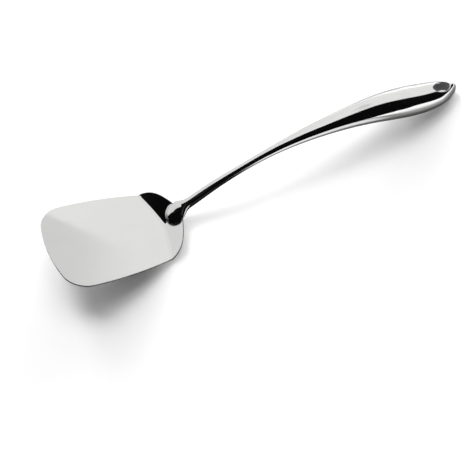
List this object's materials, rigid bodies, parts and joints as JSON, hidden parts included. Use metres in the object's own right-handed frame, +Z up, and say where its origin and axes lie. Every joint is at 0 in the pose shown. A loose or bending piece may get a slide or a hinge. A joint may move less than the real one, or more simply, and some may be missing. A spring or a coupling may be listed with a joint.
{
  "type": "turner",
  "caption": "Polished steel kitchen turner: a wide flat blade with a turned-up heel, a thin arched neck and a hollow handle that swells to an oval grip with a hanging hole.",
  "frame": {"origin": "on the table under the middle of the part's bounding box", "axes": "+X from the blade's front edge to the end of the handle, +Y to the left of someone who looks along +X, +Z up from the table"},
  "size_m": [0.3436, 0.083, 0.0319],
  "materials": {
    "pressed_steel": "polished",
    "polished_steel": "polished",
    "weld_steel": "satin"
  },
  "bodies": {
    "root": {"blade": "pressed_steel", "neck": "polished_steel", "foot_weld": "weld_steel", "neck_weld": "weld_steel", "handle_upper_shell": "polished_steel", "handle_lower_shell": "polished_steel", "seam_weld_left": "weld_steel", "seam_weld_right": "weld_steel", "hanging_eye": "polished_steel", "eye_weld_upper": "weld_steel", "eye_weld_lower": "weld_steel"}
  },
  "joints": []
}
